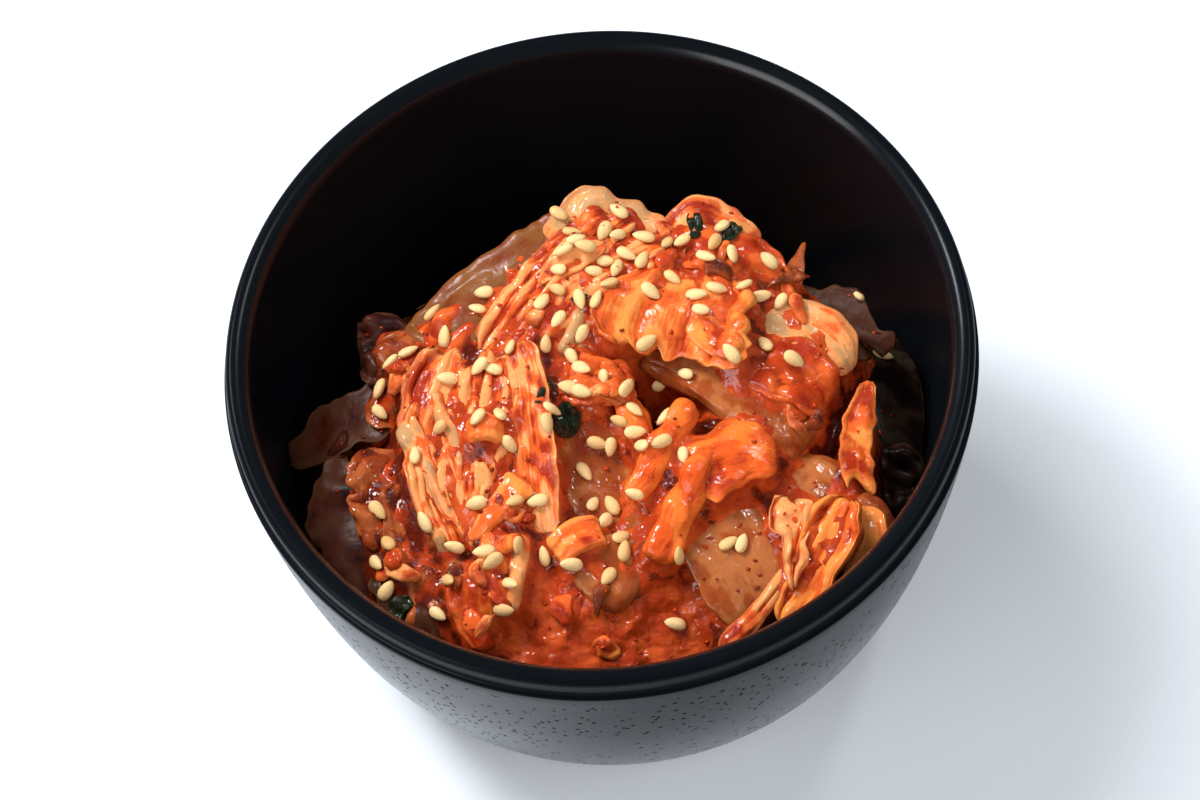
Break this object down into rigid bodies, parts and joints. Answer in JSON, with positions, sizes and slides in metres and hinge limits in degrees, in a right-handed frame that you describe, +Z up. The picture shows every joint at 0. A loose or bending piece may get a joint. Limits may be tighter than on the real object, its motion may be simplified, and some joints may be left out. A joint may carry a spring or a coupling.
{
  "type": "bowl of kimchi",
  "caption": "Cabbage and radish kimchi heaped in a round black rice bowl, with sesame seeds over it; stands on the bowl's foot ring.",
  "frame": {"origin": "middle of the bowl's foot ring, on the surface it stands on", "axes": "+Z up through the bowl's axis; the shown front is towards -Y and +X is to its right"},
  "size_m": [0.1216, 0.1216, 0.0675],
  "materials": {
    "bowl_black": "satin black moulded ware with fine pits",
    "kimchi_leaf": "wet, translucent, orange-red and cream by place",
    "kimchi_stem": "wet, smooth, translucent cream to orange",
    "radish": "wet, smooth, clear orange",
    "chilli_sauce": "wet and grainy, deep red",
    "green_leaf": "wet, nearly black green",
    "sesame": "smooth, cream-yellow, slightly glossy"
  },
  "bodies": {
    "root": {"bowl": "bowl_black", "kimchi_heap": "kimchi_leaf"}
  },
  "joints": []
}
